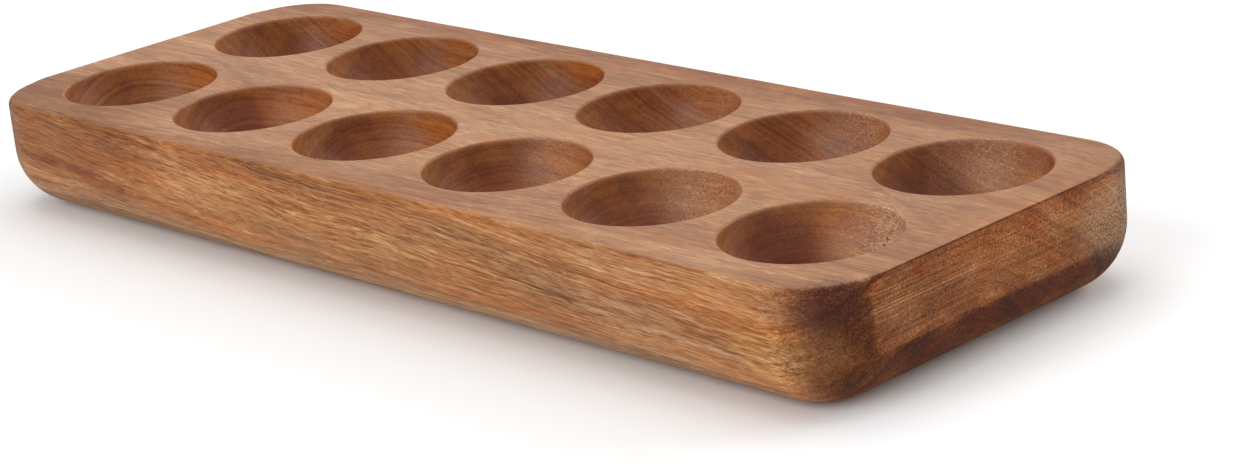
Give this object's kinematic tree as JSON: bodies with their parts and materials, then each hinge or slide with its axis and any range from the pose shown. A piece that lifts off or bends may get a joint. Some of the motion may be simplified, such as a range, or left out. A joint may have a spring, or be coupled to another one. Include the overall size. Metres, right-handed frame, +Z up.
{
  "type": "egg holder tray",
  "caption": "Flat solid wooden board with rounded corners, a rounded-over underside and two rows of round bowls in its top face for eggs.",
  "frame": {"origin": "middle of the flat underside, on the surface that the board stands on", "axes": "+X along the board's length, +Y across its width, +Z up out of the bowls"},
  "size_m": [0.3, 0.11, 0.03],
  "materials": {
    "oiled_wood": "oiled, satin, fine sanded"
  },
  "bodies": {
    "root": {"tray_block": "oiled_wood"}
  },
  "joints": []
}
